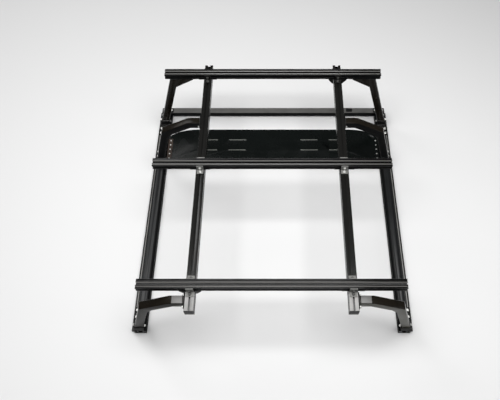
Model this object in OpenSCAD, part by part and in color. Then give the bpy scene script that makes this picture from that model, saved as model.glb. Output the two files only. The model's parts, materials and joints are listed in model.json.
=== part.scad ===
// Over-bed ladder rack for a pickup truck.
// Two side rails and a header bar form the base. Posts and bent legs carry two slotted long rails,
// and three slotted crossbars lie across them. The middle and rear crossbars slide along the long rails.
// +X is the right-hand side, +Y is the front and +Z is up. The origin is on the plane the side rails
// rest on, halfway along and halfway across.

/* [Overall] */
// Length from the front of the header bar to the rear ends of the long rails
frame_len = 1752; // [1450:1:2200]
// Width over the outer faces of the two side rails
base_w = 1682; // [1400:1:2050]
// Height of the crossbar tops above the side rail tops
rack_h = 540; // [440:1:700]

/* [Side rails] */
// Width of a side rail
side_w = 74; // [62:1:95]
// Height of a side rail
side_h = 50; // [40:1:65]
// Wall of the hollow chamber
side_wall = 5; // [3:0.5:7]
// Width of the bevel along the inner top edge
side_bevel_w = 9; // [4:1:12]
// Depth of the bevel along the inner top edge
side_bevel_h = 12; // [4:1:16]
// Distance from the outer face to the middle of the top slot
side_slot_in = 12.5; // [12:0.5:16]
// Gap from the rear ends of the long rails to the rear ends of the side rails
side_rear_gap = 39; // [20:1:80]
// Height of the cover track above the rail's underside
track_z = 10; // [8:1:14]
// Height of the cover track
track_h = 10; // [8:1:12]
// Depth of the cover track
track_d = 14; // [8:1:16]
// Width of the rubber seal outside the side rail
seal_w = 9; // [5:1:14]
// Height of the rubber seal
seal_h = 16; // [10:1:24]
// Drop of the seal's top below the rail top
seal_drop = 3; // [1:1:6]

/* [Header] */
// Width of the header bar, front to back
header_w = 48; // [36:1:60]
// Height of the header bar
header_h = 34; // [24:1:40]
// Wall of the header bar
header_wall = 3; // [2:0.5:5]
// Length of each arm of a corner bracket
corner_arm = 84; // [70:1:110]
// Width of each arm of a corner bracket
corner_w = 36; // [28:1:44]
// Thickness of a corner bracket
corner_t = 4; // [3:0.5:6]
// Distance of the clamp's middle from the right end of the header bar
clamp_in = 267; // [150:1:400]
// Diameter of each clamp boss
clamp_d = 22; // [16:1:28]
// Height of the clamp above the header bar
clamp_h = 16; // [10:1:24]

/* [Deck] */
// Distance from the header front to the deck's front edge
deck_front = 199; // [180:1:230]
// Length of the deck, front to back
deck_len = 310; // [260:1:340]
// Thickness of the deck sheet
deck_t = 3; // [2:0.5:4]
// Drop of the deck's top below the side rail tops
deck_drop = 6; // [2:1:10]
// Height of the folded rear flange
deck_flange = 26; // [16:1:34]
// Length across of each rounded front corner
deck_corner_x = 215; // [120:1:260]
// Length front to back of each rounded front corner
deck_corner_y = 84; // [40:1:120]
// Length of a pressed rib
rib_len = 128; // [90:1:150]
// Width of a pressed rib
rib_w = 9; // [6:1:14]
// Height of a pressed rib
rib_h = 3; // [2:0.5:4]
// Distances of the ribs from the middle of the deck
rib_xs = [262, 470];
// Distances of the rib rows from the header front
rib_ys = [295, 385];
// Width of the clamping strip along each end of the deck
strip_w = 32; // [26:1:44]
// Thickness of the clamping strip
strip_t = 3; // [2:0.5:4]

/* [Posts and legs] */
// Width of the square tube, front to back
tube_y = 46; // [38:1:56]
// Depth of the square tube, across
tube_x = 50; // [42:1:56]
// Wall of the square tube
tube_wall = 3; // [2:0.5:5]
// Distance of the front crossbar's middle behind the header front
post_back = 139; // [130:1:150]
// Distance from the crossbar end to the middle of a post at its top
post_inset = 57; // [45:1:80]
// Distance of the front legs' middle behind the header front
leg_back = 507; // [480:1:620]
// Distance of the rear legs' middle ahead of the long rails' rear ends
rear_leg_gap = 66; // [66:1:110]
// Lean of a leg, across, from its foot to its elbow
leg_lean = 108; // [80:1:150]
// Drop from the arm's middle down to the elbow
elbow_drop = 90; // [60:1:130]
// Length of the level part of the arm
arm_flat = 70; // [50:1:110]
// Length of the stiffener inside the elbow, along each side
elbow_fill = 34; // [15:1:50]
// Distance from the rail's outer face to the middle of a foot
foot_in = 33; // [30:1:38]
// Length of the corner gusset along the crossbar
gusset_x = 100; // [60:1:140]
// Length of the corner gusset down the post
gusset_z = 78; // [50:1:110]
// Thickness of the gusset's walls
gusset_t = 5; // [3:0.5:8]

/* [Shoes and plates] */
// Thickness of a base plate
plate_t = 6; // [4:0.5:8]
// Length of a base plate ahead of its tube's middle
plate_fwd = 118; // [112:1:140]
// Height of the sleeve above the base plate
sleeve_h = 48; // [36:1:64]
// Wall of the sleeve
sleeve_t = 4; // [3:0.5:6]
// Reach of an arm end plate past the tube, to the front and to the back
end_plate_reach = 20; // [19:1:32]
// Height of an arm end plate
end_plate_h = 48; // [44:1:50]
// Thickness of an arm end plate
end_plate_t = 6; // [4:0.5:8]
// Thickness of the cover plate on an arm
cover_t = 2.5; // [1.5:0.5:4]
// Thickness of the plate on top of a post
cap_t = 5; // [4:0.5:8]

/* [Long rails] */
// Distance between the middles of the two long rails
rail_span = 863; // [700:1:960]
// Width of a long rail
rail_w = 52; // [46:1:62]
// Height of a long rail
rail_h = 50; // [46:1:62]
// Distance from the header front to the front ends of the long rails
rail_front = 38; // [20:1:60]
// Width of the notch in the front end of a long rail
notch_w = 18; // [12:1:19]
// Length of the notch in the front end of a long rail
notch_len = 30; // [20:1:44]
// Thickness of an end cap
end_cap_t = 4; // [3:0.5:8]

/* [Crossbars] */
// Length of a crossbar
bar_len = 1430; // [1200:1:1600]
// Width of a crossbar, front to back
bar_w = 54; // [46:1:62]
// Height of a crossbar
bar_h = 40; // [38:1:52]
// Distance from the front crossbar to the middle crossbar
mid_bar_back = 711; // [620:1:740]
// Gap between the rear arms' end plates and the rear crossbar at its rear stop
rear_stop_gap = 2; // [1:0.5:20]

/* [Slots] */
// Opening of every slot
slot_open = 9; // [8.5:0.5:10]
// Thickness of the lips beside a slot
slot_lip = 4; // [3:0.5:5]
// Width of the channel behind the lips
slot_in_w = 19; // [18:0.5:20]
// Depth of the channel behind the lips
slot_in_d = 7.5; // [7:0.5:8]
// Radius of the outer corners of a slotted bar
corner_r = 2; // [1:0.5:3]

/* [Saddles and angles] */
// Thickness of a saddle's sheet
saddle_t = 4; // [3:0.5:6]
// Width of a saddle at its top
saddle_w = 120; // [112:1:150]
// Drop of a saddle's cheeks beside the long rail
saddle_drop = 42; // [30:1:55]
// Width of a cheek's lower edge beside the long rail
saddle_foot = 7; // [5:1:16]
// Width of an angle bracket
angle_w = 40; // [34:1:50]
// Length of an angle bracket's foot
angle_len = 32; // [30:1:40]
// Thickness of an angle bracket
angle_t = 5; // [4:0.5:6]

/* [Fasteners] */
// Diameter of every bolt
bolt_d = 8; // [6:1:8]
// Clearance between a bolt and its hole, on the diameter
hole_play = 1; // [0.5:0.1:1.5]
// Width of a nut or bolt head across its corners
hex_d = 15; // [13:0.5:16]
// Thickness of a nut or bolt head
hex_h = 6; // [4:0.5:8]
// Diameter of a flange or washer
washer_d = 18; // [16:0.5:20]
// Thickness of a flange or washer
washer_t = 1.5; // [1:0.5:2.5]
// Thickness of a T-bolt's head
tee_h = 4; // [3:0.5:5]
// Length of a T-bolt's head along its slot
tee_len = 12; // [8:1:16]
// Diameter of a deck screw's head
screw_d = 10; // [7:1:12]

/* [Fits] */
// Gap between a sliding crossbar's parts and the long rails
slide_gap = 0.3; // [0.2:0.1:0.6]
// Gap between a saddle's cheeks and the sides of a long rail
cheek_gap = 1; // [0.5:0.1:2]
// Gap between a T-bolt's head and its channel
tee_gap = 0.3; // [0.2:0.1:0.6]
// Gap between a nut's thread and its bolt, on the radius
nut_gap = 0.05; // [0.02:0.01:0.1]
// Gap between the deck and the side rails
deck_gap = 1; // [0.5:0.5:3]

/* [Hidden] */
$fn = 48;
SIDES = [-1, 1];
over = 1;                                    // how far a cutter runs past a face
front_y = frame_len / 2;
rear_y = -frame_len / 2;
side_x = base_w / 2;                         // outer face of a side rail
side_in_x = side_x - side_w;
side_top = side_h;
side_front_y = front_y - header_w;
side_rear_y = rear_y + side_rear_gap;
side_slot_x = side_x - side_slot_in;
chamber_x = side_in_x + track_d + side_wall;
chamber_w = side_slot_x - slot_in_w / 2 - side_wall - chamber_x;
chamber_h = side_h - 2 * side_wall;
slot_chamber_w = side_x - side_wall - (side_slot_x - slot_in_w / 2);
header_y = front_y - header_w / 2;
header_z = side_top - header_h;
bar_z = side_top + rack_h - bar_h;           // underside of the crossbars
rail_top = bar_z - saddle_t - slide_gap;
rail_z = rail_top - rail_h / 2;
rail_x = rail_span / 2;
rail_out = rail_x + rail_w / 2;
rail_front_y = front_y - rail_front;
front_bar_y = front_y - post_back;
mid_bar_y = front_bar_y - mid_bar_back;
front_leg_y = front_y - leg_back;
rear_leg_y = rear_y + rear_leg_gap;
end_plate_len = tube_y + 2 * end_plate_reach;
rear_bar_y = rear_leg_y + end_plate_len / 2 + rear_stop_gap + bar_w / 2;
foot_x = side_x - foot_in;
foot_z = side_top + plate_t;                 // where a tube stands on its base plate
post_top_x = bar_len / 2 - post_inset;
post_top_z = bar_z - cap_t;
arm_z = rail_top - tube_x / 2 - 1;           // middle line of the level arm
arm_end_x = rail_out + end_plate_t;
bend_x = arm_end_x + arm_flat;
elbow = [foot_x - leg_lean, arm_z - elbow_drop];
deck_top = side_top - deck_drop;
deck_half = side_in_x - deck_gap;
deck_front_y = front_y - deck_front;
hole_r = (bolt_d + hole_play) / 2;
sleeve_y = tube_y + 2 * sleeve_t;
plate_back = sleeve_y / 2;
bolt_rows = [58, 100];                       // bolts of a base plate, ahead of its tube's middle
bolt_cols = [foot_in - side_slot_in, chamber_x + chamber_w / 2 - foot_x];
end_bolt = end_plate_len / 2 - 10;
saddle_bolt = saddle_w / 2 - 13;
angle_bolt = angle_len / 2 + 2;
bar_mid_z = bar_z + bar_h / 2;
cap_in = gusset_x + 26;                      // reach of a post's top plate past its inner face
strip_screws = 6;
screw_dome = 3;
rail_bolts_y = [side_front_y - 130, side_front_y - 620, side_rear_y + 250];
pilot_depth = 12;
angle_hole_z = track_z + track_h + 8;        // screws of the deck angle into the side rail

// ---- shared shapes ----

// places children on the right (1) or mirrors them to the left (-1)
module on_side(side) {
    mirror([side < 0 ? 1 : 0, 0, 0]) children();
}

// extrudes an X-Z outline along Y, centred on y
module slab(y, width) {
    translate([0, y + width / 2, 0]) rotate([90, 0, 0]) linear_extrude(width) children();
}

// a slot's outline: mouth at y = 0, channel below it
module slot_2d() {
    translate([-slot_open / 2, -slot_lip - over]) square([slot_open, slot_lip + 2 * over]);
    translate([-slot_in_w / 2, -slot_lip - slot_in_d]) square([slot_in_w, slot_in_d]);
}

// the section of a bar with a slot in each of its four sides
module slotted_2d(w, h) {
    difference() {
        union() {
            square([w - 2 * corner_r, h], center = true);
            square([w, h - 2 * corner_r], center = true);
            for (sx = SIDES, sy = SIDES)
                translate([sx * (w / 2 - corner_r), sy * (h / 2 - corner_r)]) circle(corner_r);
        }
        for (turn = [0, 180]) rotate(turn) translate([0, h / 2]) slot_2d();
        for (turn = [90, 270]) rotate(turn) translate([0, w / 2]) slot_2d();
        circle(d = bolt_d - 1);
    }
}

// a T-bolt with its head's upper face at z = 0 and its shank pointing up
module tee_bolt(length) {
    translate([-(slot_in_w / 2 - over), -tee_len / 2, -tee_h])
        cube([slot_in_w - 2 * over, tee_len, tee_h]);
    cylinder(d = bolt_d, h = length);
}

// a flanged nut standing on z = 0
module flange_nut() {
    difference() {
        union() {
            cylinder(d = washer_d, h = washer_t);
            translate([0, 0, washer_t]) cylinder(d = hex_d, h = hex_h, $fn = 6);
        }
        translate([0, 0, -over]) cylinder(r = bolt_d / 2 + nut_gap, h = hex_h + washer_t + 2 * over);
    }
}

// a flanged hex bolt: the flange sits on z = 0 and the shank hangs below
module hex_bolt(length) {
    cylinder(d = washer_d, h = washer_t);
    translate([0, 0, washer_t]) cylinder(d = hex_d, h = hex_h, $fn = 6);
    translate([0, 0, -length]) cylinder(d = bolt_d, h = length + washer_t);
}

// how far a T-bolt's shank runs above its channel to stand just out of its nut
function tee_reach(grip) = slot_lip + tee_gap + grip + washer_t + hex_h + 3;

// ---- base ----

module side_rail(side) {
    on_side(side) color([0.10, 0.10, 0.11]) difference() {
        slab((side_front_y + side_rear_y) / 2, side_front_y - side_rear_y) difference() {
            polygon([[side_in_x, 0], [side_x, 0], [side_x, side_h], [side_in_x + side_bevel_w, side_h],
                     [side_in_x, side_h - side_bevel_h]]);
            translate([side_slot_x, side_h]) slot_2d();
            translate([side_in_x - over, track_z]) square([track_d + over, track_h]);
            translate([chamber_x, side_wall]) square([chamber_w, chamber_h]);
            translate([side_slot_x - slot_in_w / 2, side_wall])
                square([slot_chamber_w, chamber_h - slot_lip - slot_in_d]);
        }
        for (y = [front_bar_y, front_leg_y, rear_leg_y], row = bolt_rows)
            translate([foot_x + bolt_cols[1], y + foot_dir(y) * row, side_h - side_wall - over])
                cylinder(r = hole_r, h = side_wall + 2 * over);
        for (y = rail_bolts_y)
            translate([chamber_x + chamber_w / 2, y, -over])
                cylinder(r = hole_r, h = side_wall + 2 * over);
        for (y = angle_holes_y())
            translate([side_in_x - over, y, angle_hole_z]) rotate([0, 90, 0])
                cylinder(d = screw_d / 2, h = pilot_depth + over);
    }
}

// a base plate reaches forward of its leg, and rearward of its post
function foot_dir(y) = y == front_bar_y ? -1 : 1;

module rail_seal(side) {
    on_side(side) color([0.03, 0.03, 0.03])
        slab((side_front_y + side_rear_y) / 2, side_front_y - side_rear_y) difference() {
            union() {
                translate([side_x, side_top - seal_drop - seal_h]) square([seal_w / 2, seal_h]);
                translate([side_x + seal_w / 2, side_top - seal_drop - seal_w / 2])
                    circle(d = seal_w);
                translate([side_x + seal_w / 2, side_top - seal_drop - seal_h])
                    square([seal_w / 2, seal_h - seal_w / 2]);
            }
            translate([side_x + seal_w / 2, side_top - seal_drop - seal_w / 2])
                circle(d = seal_w / 2);
            translate([side_x - seal_w, side_top - seal_drop - seal_h - over])
                square([seal_w, seal_h + 2 * over]);
        }
}

module header_bar() {
    color([0.16, 0.16, 0.17]) difference() {
        translate([-side_x, header_y - header_w / 2, header_z]) cube([base_w, header_w, header_h]);
        translate([-side_x - over, header_y - header_w / 2 + header_wall, header_z + header_wall])
            cube([base_w + 2 * over, header_w - 2 * header_wall, header_h - 2 * header_wall]);
        for (side = SIDES, p = header_holes())
            translate([side * p[0], p[1], side_top - header_wall - over])
                cylinder(r = hole_r, h = header_wall + 2 * over);
    }
}

// bolt places on a corner bracket: two in the header bar
function header_holes() =
    [[side_x - corner_w / 2, header_y], [side_x - corner_arm + 14, header_y]];
// and one in the side rail's slot
function corner_rail_hole() = [side_slot_x, front_y - corner_arm - header_w / 2 + 32];

module header_corner(side) {
    on_side(side) color([0.12, 0.12, 0.12]) difference() {
        translate([0, 0, side_top]) linear_extrude(corner_t) polygon([
            [side_x, front_y - 6], [side_x, front_y - corner_arm],
            [side_x - corner_w, front_y - corner_arm],
            [side_x - corner_w - 10, front_y - header_w], [side_x - corner_arm, front_y - header_w + 4],
            [side_x - corner_arm, front_y - 6]]);
        for (p = concat(header_holes(), [corner_rail_hole()]))
            translate([p[0], p[1], side_top - over]) cylinder(r = hole_r, h = corner_t + 2 * over);
    }
}

module header_bolts() {
    color([0.55, 0.55, 0.56]) for (side = SIDES) on_side(side) {
        for (p = header_holes())
            translate([p[0], p[1], side_top + corner_t]) hex_bolt(corner_t + header_wall + 8);
        translate([corner_rail_hole()[0], corner_rail_hole()[1], 0]) {
            translate([0, 0, side_top - slot_lip - tee_gap]) tee_bolt(tee_reach(corner_t));
            translate([0, 0, side_top + corner_t]) flange_nut();
        }
    }
}

// two round bosses on one foot, clamped on the top of the header bar
module header_clamp() {
    color([0.05, 0.05, 0.05]) translate([side_x - clamp_in, header_y, side_top]) {
        translate([-clamp_d, -clamp_d / 2 - 3, 0]) cube([2 * clamp_d, clamp_d + 6, clamp_h / 2]);
        for (sx = SIDES) translate([sx * (clamp_d / 2 + 1), 0, clamp_h / 2]) {
            cylinder(d = clamp_d, h = clamp_h / 2);
            translate([0, 0, clamp_h / 2]) cylinder(d = hex_d, h = 4, $fn = 6);
        }
    }
}

// ---- deck ----

// the deck's outline: straight rear edge, elliptic front corners
function deck_outline() = concat(
    [[deck_half, deck_front_y - deck_len]],
    [for (a = [0:10:90]) [deck_half - deck_corner_x * (1 - cos(a)),
                          deck_front_y - deck_corner_y * (1 - sin(a))]],
    [for (a = [90:-10:0]) [-deck_half + deck_corner_x * (1 - cos(a)),
                           deck_front_y - deck_corner_y * (1 - sin(a))]],
    [[-deck_half, deck_front_y - deck_len]]);

module deck_panel() {
    color([0.04, 0.045, 0.045]) difference() {
        union() {
            translate([0, 0, deck_top - deck_t]) linear_extrude(deck_t) polygon(deck_outline());
            translate([-deck_half, deck_front_y - deck_len, deck_top - deck_flange])
                cube([2 * deck_half, deck_t, deck_flange]);
            for (sx = SIDES, x = rib_xs, y = rib_ys) translate([sx * x, front_y - y, 0]) rib();
        }
        for (sx = SIDES, p = strip_holes())
            translate([sx * p[0], p[1], deck_top - deck_t - over])
                cylinder(d = screw_d / 2, h = deck_t + 2 * over);
    }
}

// a pressed rib with round ends
module rib() {
    translate([-rib_len / 2 + rib_w / 2, -rib_w / 2, deck_top - over])
        cube([rib_len - rib_w, rib_w, rib_h + over]);
    for (sx = SIDES) translate([sx * (rib_len - rib_w) / 2, 0, deck_top - over])
        cylinder(d = rib_w, h = rib_h + over);
}

function strip_y0() = deck_front_y - deck_corner_y - 6;
function strip_len() = deck_len - deck_corner_y - 6;
function strip_holes() = [for (i = [0:strip_screws - 1])
    [deck_half - strip_w / 2, strip_y0() - 14 - i * (strip_len() - 28) / (strip_screws - 1)]];

// flat strip clamping the end of the deck from above
module deck_strip(side) {
    on_side(side) color([0.20, 0.17, 0.15]) difference() {
        translate([side_in_x - strip_w, strip_y0() - strip_len(), deck_top])
            cube([strip_w, strip_len(), strip_t]);
        for (p = strip_holes())
            translate([p[0], p[1], deck_top - over]) cylinder(d = screw_d / 2, h = strip_t + 2 * over);
    }
}

function angle_y1() = deck_front_y - deck_len + deck_t + deck_gap;
function angle_holes_y() = [for (f = [0.15, 0.5, 0.85]) angle_y1() + f * (strip_y0() - angle_y1())];

// angle under the end of the deck, screwed to the side rail's inner face
module deck_angle(side) {
    on_side(side) color([0.10, 0.10, 0.10]) difference() {
        union() {
            translate([side_in_x - strip_w, angle_y1(), deck_top - deck_t - strip_t])
                cube([strip_w, strip_y0() - angle_y1(), strip_t]);
            translate([side_in_x - strip_t, angle_y1(), track_z + track_h + 1])
                cube([strip_t, strip_y0() - angle_y1(), deck_top - deck_t - track_z - track_h - 1]);
        }
        for (p = strip_holes())
            translate([p[0], p[1], deck_top - deck_t - strip_t - over])
                cylinder(d = screw_d / 2, h = strip_t + 2 * over);
        for (y = angle_holes_y()) translate([side_in_x - strip_t - over, y, angle_hole_z])
            rotate([0, 90, 0]) cylinder(d = screw_d / 2, h = strip_t + 2 * over);
    }
}

// a domed screw: its head stands on z = 0 and its shank hangs below
module dome_screw(grip) {
    intersection() {
        translate([0, 0, screw_dome - screw_d]) sphere(r = screw_d);
        cylinder(d = screw_d, h = screw_dome);
    }
    translate([0, 0, -grip]) cylinder(d = screw_d / 2 - 0.4, h = grip + over);
}

module deck_screws() {
    color([0.70, 0.70, 0.70]) for (side = SIDES) on_side(side) {
        for (p = strip_holes())
            translate([p[0], p[1], deck_top + strip_t]) dome_screw(2 * strip_t + deck_t + 3);
        for (y = angle_holes_y()) translate([side_in_x - strip_t, y, angle_hole_z])
            rotate([0, -90, 0]) dome_screw(strip_t + pilot_depth - 2);
    }
}

// ---- posts ----

// slope of a post across, per unit of height
post_slope = (foot_x - post_top_x) / (post_top_z - foot_z);
// width of a post measured level
post_level_w = tube_x * sqrt(1 + post_slope * post_slope);

// X-Z outline of a post from z0 to z1, grown sideways by grow
module post_2d(z0, z1, grow) {
    half = post_level_w / 2 + grow * sqrt(1 + post_slope * post_slope);
    x0 = foot_x - post_slope * (z0 - foot_z);
    x1 = foot_x - post_slope * (z1 - foot_z);
    polygon([[x0 - half, z0], [x0 + half, z0], [x1 + half, z1], [x1 - half, z1]]);
}

// lean of the tube that stands on the shoe at y, per unit of height
function lean_at(y) = y == front_bar_y ? post_slope : leg_lean / (elbow[1] - foot_z);

// puts children on a tube's middle line at mid-sleeve height, with +Z square to its outer face
module at_cross(y) {
    translate([foot_x - lean_at(y) * sleeve_h / 2, y, foot_z + sleeve_h / 2])
        rotate([0, 90 - atan(lean_at(y)), 0]) children();
}

module cross_hole(y) {
    at_cross(y) cylinder(r = hole_r, h = 2 * (tube_x + sleeve_t), center = true);
}

module front_post(side) {
    on_side(side) color([0.05, 0.05, 0.055]) difference() {
        slab(front_bar_y, tube_y) post_2d(foot_z, post_top_z, 0);
        slab(front_bar_y, tube_y - 2 * tube_wall) post_2d(foot_z - over, post_top_z + over, -tube_wall);
        cross_hole(front_bar_y);
    }
}

function post_in_x(z) = foot_x - post_slope * (z - foot_z) - post_level_w / 2;

// the plate welded on top of a post, with two bolt holes under the crossbar's slot
module post_cap(side) {
    on_side(side) color([0.05, 0.05, 0.055]) difference() {
        translate([post_in_x(post_top_z) - cap_in, front_bar_y - tube_y / 2, post_top_z])
            cube([cap_in + post_level_w + 4, tube_y, cap_t]);
        for (x = cap_bolt_xs())
            translate([x, front_bar_y, post_top_z - over]) cylinder(r = hole_r, h = cap_t + 2 * over);
    }
}

function cap_bolt_xs() =
    [post_in_x(post_top_z) - cap_in + 12, post_in_x(post_top_z) - gusset_x / 3];

// folded corner gusset: two cheeks and a sloping web
module corner_gusset(side) {
    x0 = post_in_x(post_top_z);
    on_side(side) color([0.05, 0.05, 0.055]) difference() {
        slab(front_bar_y, tube_y) polygon([[x0, post_top_z], [x0 - gusset_x, post_top_z],
            [x0 - gusset_x, post_top_z - 6],
            [post_in_x(post_top_z - gusset_z), post_top_z - gusset_z]]);
        slab(front_bar_y, tube_y - 2 * gusset_t) polygon([
            [x0 + over, post_top_z + over], [x0 - gusset_x + 4 * gusset_t, post_top_z + over],
            [x0 - gusset_x + 4 * gusset_t, post_top_z - gusset_t],
            [post_in_x(post_top_z - gusset_z + 3 * gusset_t) + over,
             post_top_z - gusset_z + 3 * gusset_t]]);
    }
}

// ---- legs ----

// unit vector from p to q, and the mitred offset of corner q between p and r
function unit(p, q) = (q - p) / norm(q - p);
function mitre(p, q, r, d) =
    let (a = unit(p, q), b = unit(q, r), n = [-a[1] - b[1], a[0] + b[0]])
    q + n * d / (n * [-a[1], a[0]]);

leg_foot = [foot_x, foot_z];
arm_bend = [bend_x, arm_z];
arm_end = [arm_end_x, arm_z];

// one edge of a leg, d to the left of its middle line, from the foot to the arm's end;
// dz lengthens the foot end and dx the arm end
function leg_edge(d, dz, dx) =
    let (u = unit(leg_foot, elbow), slope = u[0] / u[1])
    [[foot_x - slope * dz - d / u[1], foot_z - dz],
     mitre(leg_foot, elbow, arm_bend, d), mitre(elbow, arm_bend, arm_end, d),
     [arm_end_x - dx, arm_z - d]];

function reverse(v) = [for (i = [len(v) - 1:-1:0]) v[i]];

// X-Z outline of the whole leg
module leg_2d(half, past) {
    polygon(concat(leg_edge(half, past, past), reverse(leg_edge(-half, past, past))));
}

// the stiffener in the inner corner of the elbow
module elbow_fill_2d() {
    inner = leg_edge((tube_x - tube_wall) / 2, 0, 0);
    c = inner[1];
    polygon([c, c + elbow_fill * unit(c, inner[0]), c + elbow_fill * unit(c, inner[2])]);
}

module leg(side, y) {
    on_side(side) color([0.06, 0.06, 0.06]) difference() {
        slab(y, tube_y) union() {
            leg_2d(tube_x / 2, 0);
            elbow_fill_2d();
        }
        slab(y, tube_y - 2 * tube_wall) leg_2d(tube_x / 2 - tube_wall, over);
        cross_hole(y);
    }
}

// end plate welded to the arm and bolted to the long rail's side slot, with rounded corners
module arm_plate(side, y) {
    r = 8;
    on_side(side) color([0.25, 0.25, 0.24]) difference() {
        translate([rail_out, y, rail_z]) rotate([90, 0, 90]) linear_extrude(end_plate_t) union() {
            square([end_plate_len - 2 * r, end_plate_h], center = true);
            square([end_plate_len, end_plate_h - 2 * r], center = true);
            for (sx = SIDES, sy = SIDES)
                translate([sx * (end_plate_len / 2 - r), sy * (end_plate_h / 2 - r)]) circle(r);
        }
        for (s = SIDES) translate([rail_out - over, y + s * end_bolt, rail_z]) rotate([0, 90, 0])
            cylinder(r = hole_r, h = end_plate_t + 2 * over);
    }
}

// thin cover plates on the level part of the four arms
module arm_covers() {
    color([0.30, 0.30, 0.30]) for (side = SIDES, y = [front_leg_y, rear_leg_y]) on_side(side)
        translate([arm_end_x + 6, y - tube_y / 2 + 2, arm_z + tube_x / 2])
            cube([arm_flat - 14, tube_y - 4, cover_t]);
}

module arm_bolts() {
    color([0.60, 0.60, 0.60]) for (side = SIDES, y = [front_leg_y, rear_leg_y], s = SIDES)
        on_side(side) translate([rail_out - slot_lip - tee_gap, y + s * end_bolt, rail_z])
            rotate([0, 90, 0]) tee_bolt(tee_reach(end_plate_t));
}

module arm_nuts() {
    color([0.60, 0.60, 0.60]) for (side = SIDES, y = [front_leg_y, rear_leg_y], s = SIDES)
        on_side(side) translate([rail_out + end_plate_t, y + s * end_bolt, rail_z])
            rotate([0, 90, 0]) flange_nut();
}

// ---- shoes: a base plate with a sleeve that holds the tube's foot ----

module base_plate(y) {
    dir = foot_dir(y);
    difference() {
        translate([side_in_x + side_bevel_w, dir > 0 ? y - plate_back : y - plate_fwd, side_top])
            cube([side_w - side_bevel_w, plate_back + plate_fwd, plate_t]);
        for (col = bolt_cols, row = bolt_rows)
            translate([foot_x + col, y + dir * row, side_top - over])
                cylinder(r = hole_r, h = plate_t + 2 * over);
    }
}

module post_shoe(side) {
    on_side(side) color([0.07, 0.07, 0.07]) {
        base_plate(front_bar_y);
        difference() {
            slab(front_bar_y, sleeve_y) post_2d(foot_z, foot_z + sleeve_h, sleeve_t);
            slab(front_bar_y, tube_y) post_2d(foot_z - over, foot_z + sleeve_h + over, 0);
            cross_hole(front_bar_y);
        }
    }
}

module leg_shoe(side, y) {
    on_side(side) color([0.07, 0.07, 0.07]) {
        base_plate(y);
        difference() {
            intersection() {
                slab(y, sleeve_y) leg_2d(tube_x / 2 + sleeve_t, 0);
                translate([0, y - sleeve_y, foot_z]) cube([base_w, 2 * sleeve_y, sleeve_h]);
            }
            slab(y, tube_y) leg_2d(tube_x / 2, over);
            cross_hole(y);
        }
    }
}

FEET = [front_bar_y, front_leg_y, rear_leg_y];

// T-bolts in the side rail's slot and plain bolts through its top wall
module foot_bolts() {
    color([0.72, 0.72, 0.72]) for (side = SIDES, y = FEET, row = bolt_rows) on_side(side) {
        translate([foot_x + bolt_cols[0], y + foot_dir(y) * row, side_top - slot_lip - tee_gap])
            tee_bolt(tee_reach(plate_t));
        translate([foot_x + bolt_cols[1], y + foot_dir(y) * row, foot_z])
            hex_bolt(plate_t + side_wall + 8);
    }
}

module foot_nuts() {
    color([0.72, 0.72, 0.72]) for (side = SIDES, y = FEET, row = bolt_rows) on_side(side)
        translate([foot_x + bolt_cols[0], y + foot_dir(y) * row, foot_z]) flange_nut();
}

// bolts through the sleeves and tubes, square to the tubes
module cross_bolts() {
    color([0.75, 0.75, 0.75]) for (side = SIDES, y = FEET) on_side(side) at_cross(y)
        translate([0, 0, tube_x / 2 + sleeve_t])
            hex_bolt(tube_x + 2 * sleeve_t + washer_t + hex_h + 3);
}

module cross_nuts() {
    color([0.75, 0.75, 0.75]) for (side = SIDES, y = FEET) on_side(side) at_cross(y)
        translate([0, 0, -tube_x / 2 - sleeve_t]) rotate([180, 0, 0]) flange_nut();
}

// ---- long rails ----

module long_rail(side) {
    length = rail_front_y - rear_y - end_cap_t;
    on_side(side) color([0.09, 0.09, 0.095]) difference() {
        translate([rail_x, rail_front_y, rail_z]) rotate([90, 0, 0]) linear_extrude(length)
            slotted_2d(rail_w, rail_h);
        translate([rail_x - notch_w / 2, rail_front_y - notch_len, rail_z - rail_h])
            cube([notch_w, notch_len + over, 2 * rail_h]);
    }
}

// plastic caps closing the rear ends of the long rails
module rail_end_caps() {
    color([0.04, 0.04, 0.04]) for (side = SIDES) on_side(side)
        translate([rail_x - rail_w / 2, rear_y, rail_z - rail_h / 2]) cube([rail_w, end_cap_t, rail_h]);
}

// ---- crossbars and what holds them ----

module crossbar(y) {
    color([0.07, 0.07, 0.075]) translate([-bar_len / 2, y, bar_mid_z]) rotate([90, 0, 90])
        linear_extrude(bar_len) slotted_2d(bar_w, bar_h);
}

// X-Z outline of a saddle's cheek, notched for the long rail
module cheek_2d() {
    notch = rail_w / 2 + cheek_gap;
    for (s = SIDES) translate([rail_x, 0])
        polygon([[s * notch, bar_z], [s * saddle_w / 2, bar_z], [s * saddle_w / 2, bar_z - 8],
                 [s * (notch + saddle_foot), bar_z - saddle_drop], [s * notch, bar_z - saddle_drop]]);
}

// saddles: flat plates under the crossbar; those on cheek_sides also have two notched cheeks
module saddles(y, cheek_sides) {
    color([0.06, 0.06, 0.06]) for (side = SIDES) on_side(side) difference() {
        union() {
            translate([rail_x - saddle_w / 2, y - bar_w / 2, bar_z - saddle_t])
                cube([saddle_w, bar_w, saddle_t]);
            if (len(search(side, cheek_sides)) > 0)
                for (s = SIDES) slab(y + s * (bar_w - saddle_t) / 2, saddle_t) cheek_2d();
        }
        for (s = SIDES) translate([rail_x + s * saddle_bolt, y, bar_z - saddle_t - over])
            cylinder(r = hole_r, h = saddle_t + 2 * over);
    }
}

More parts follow.
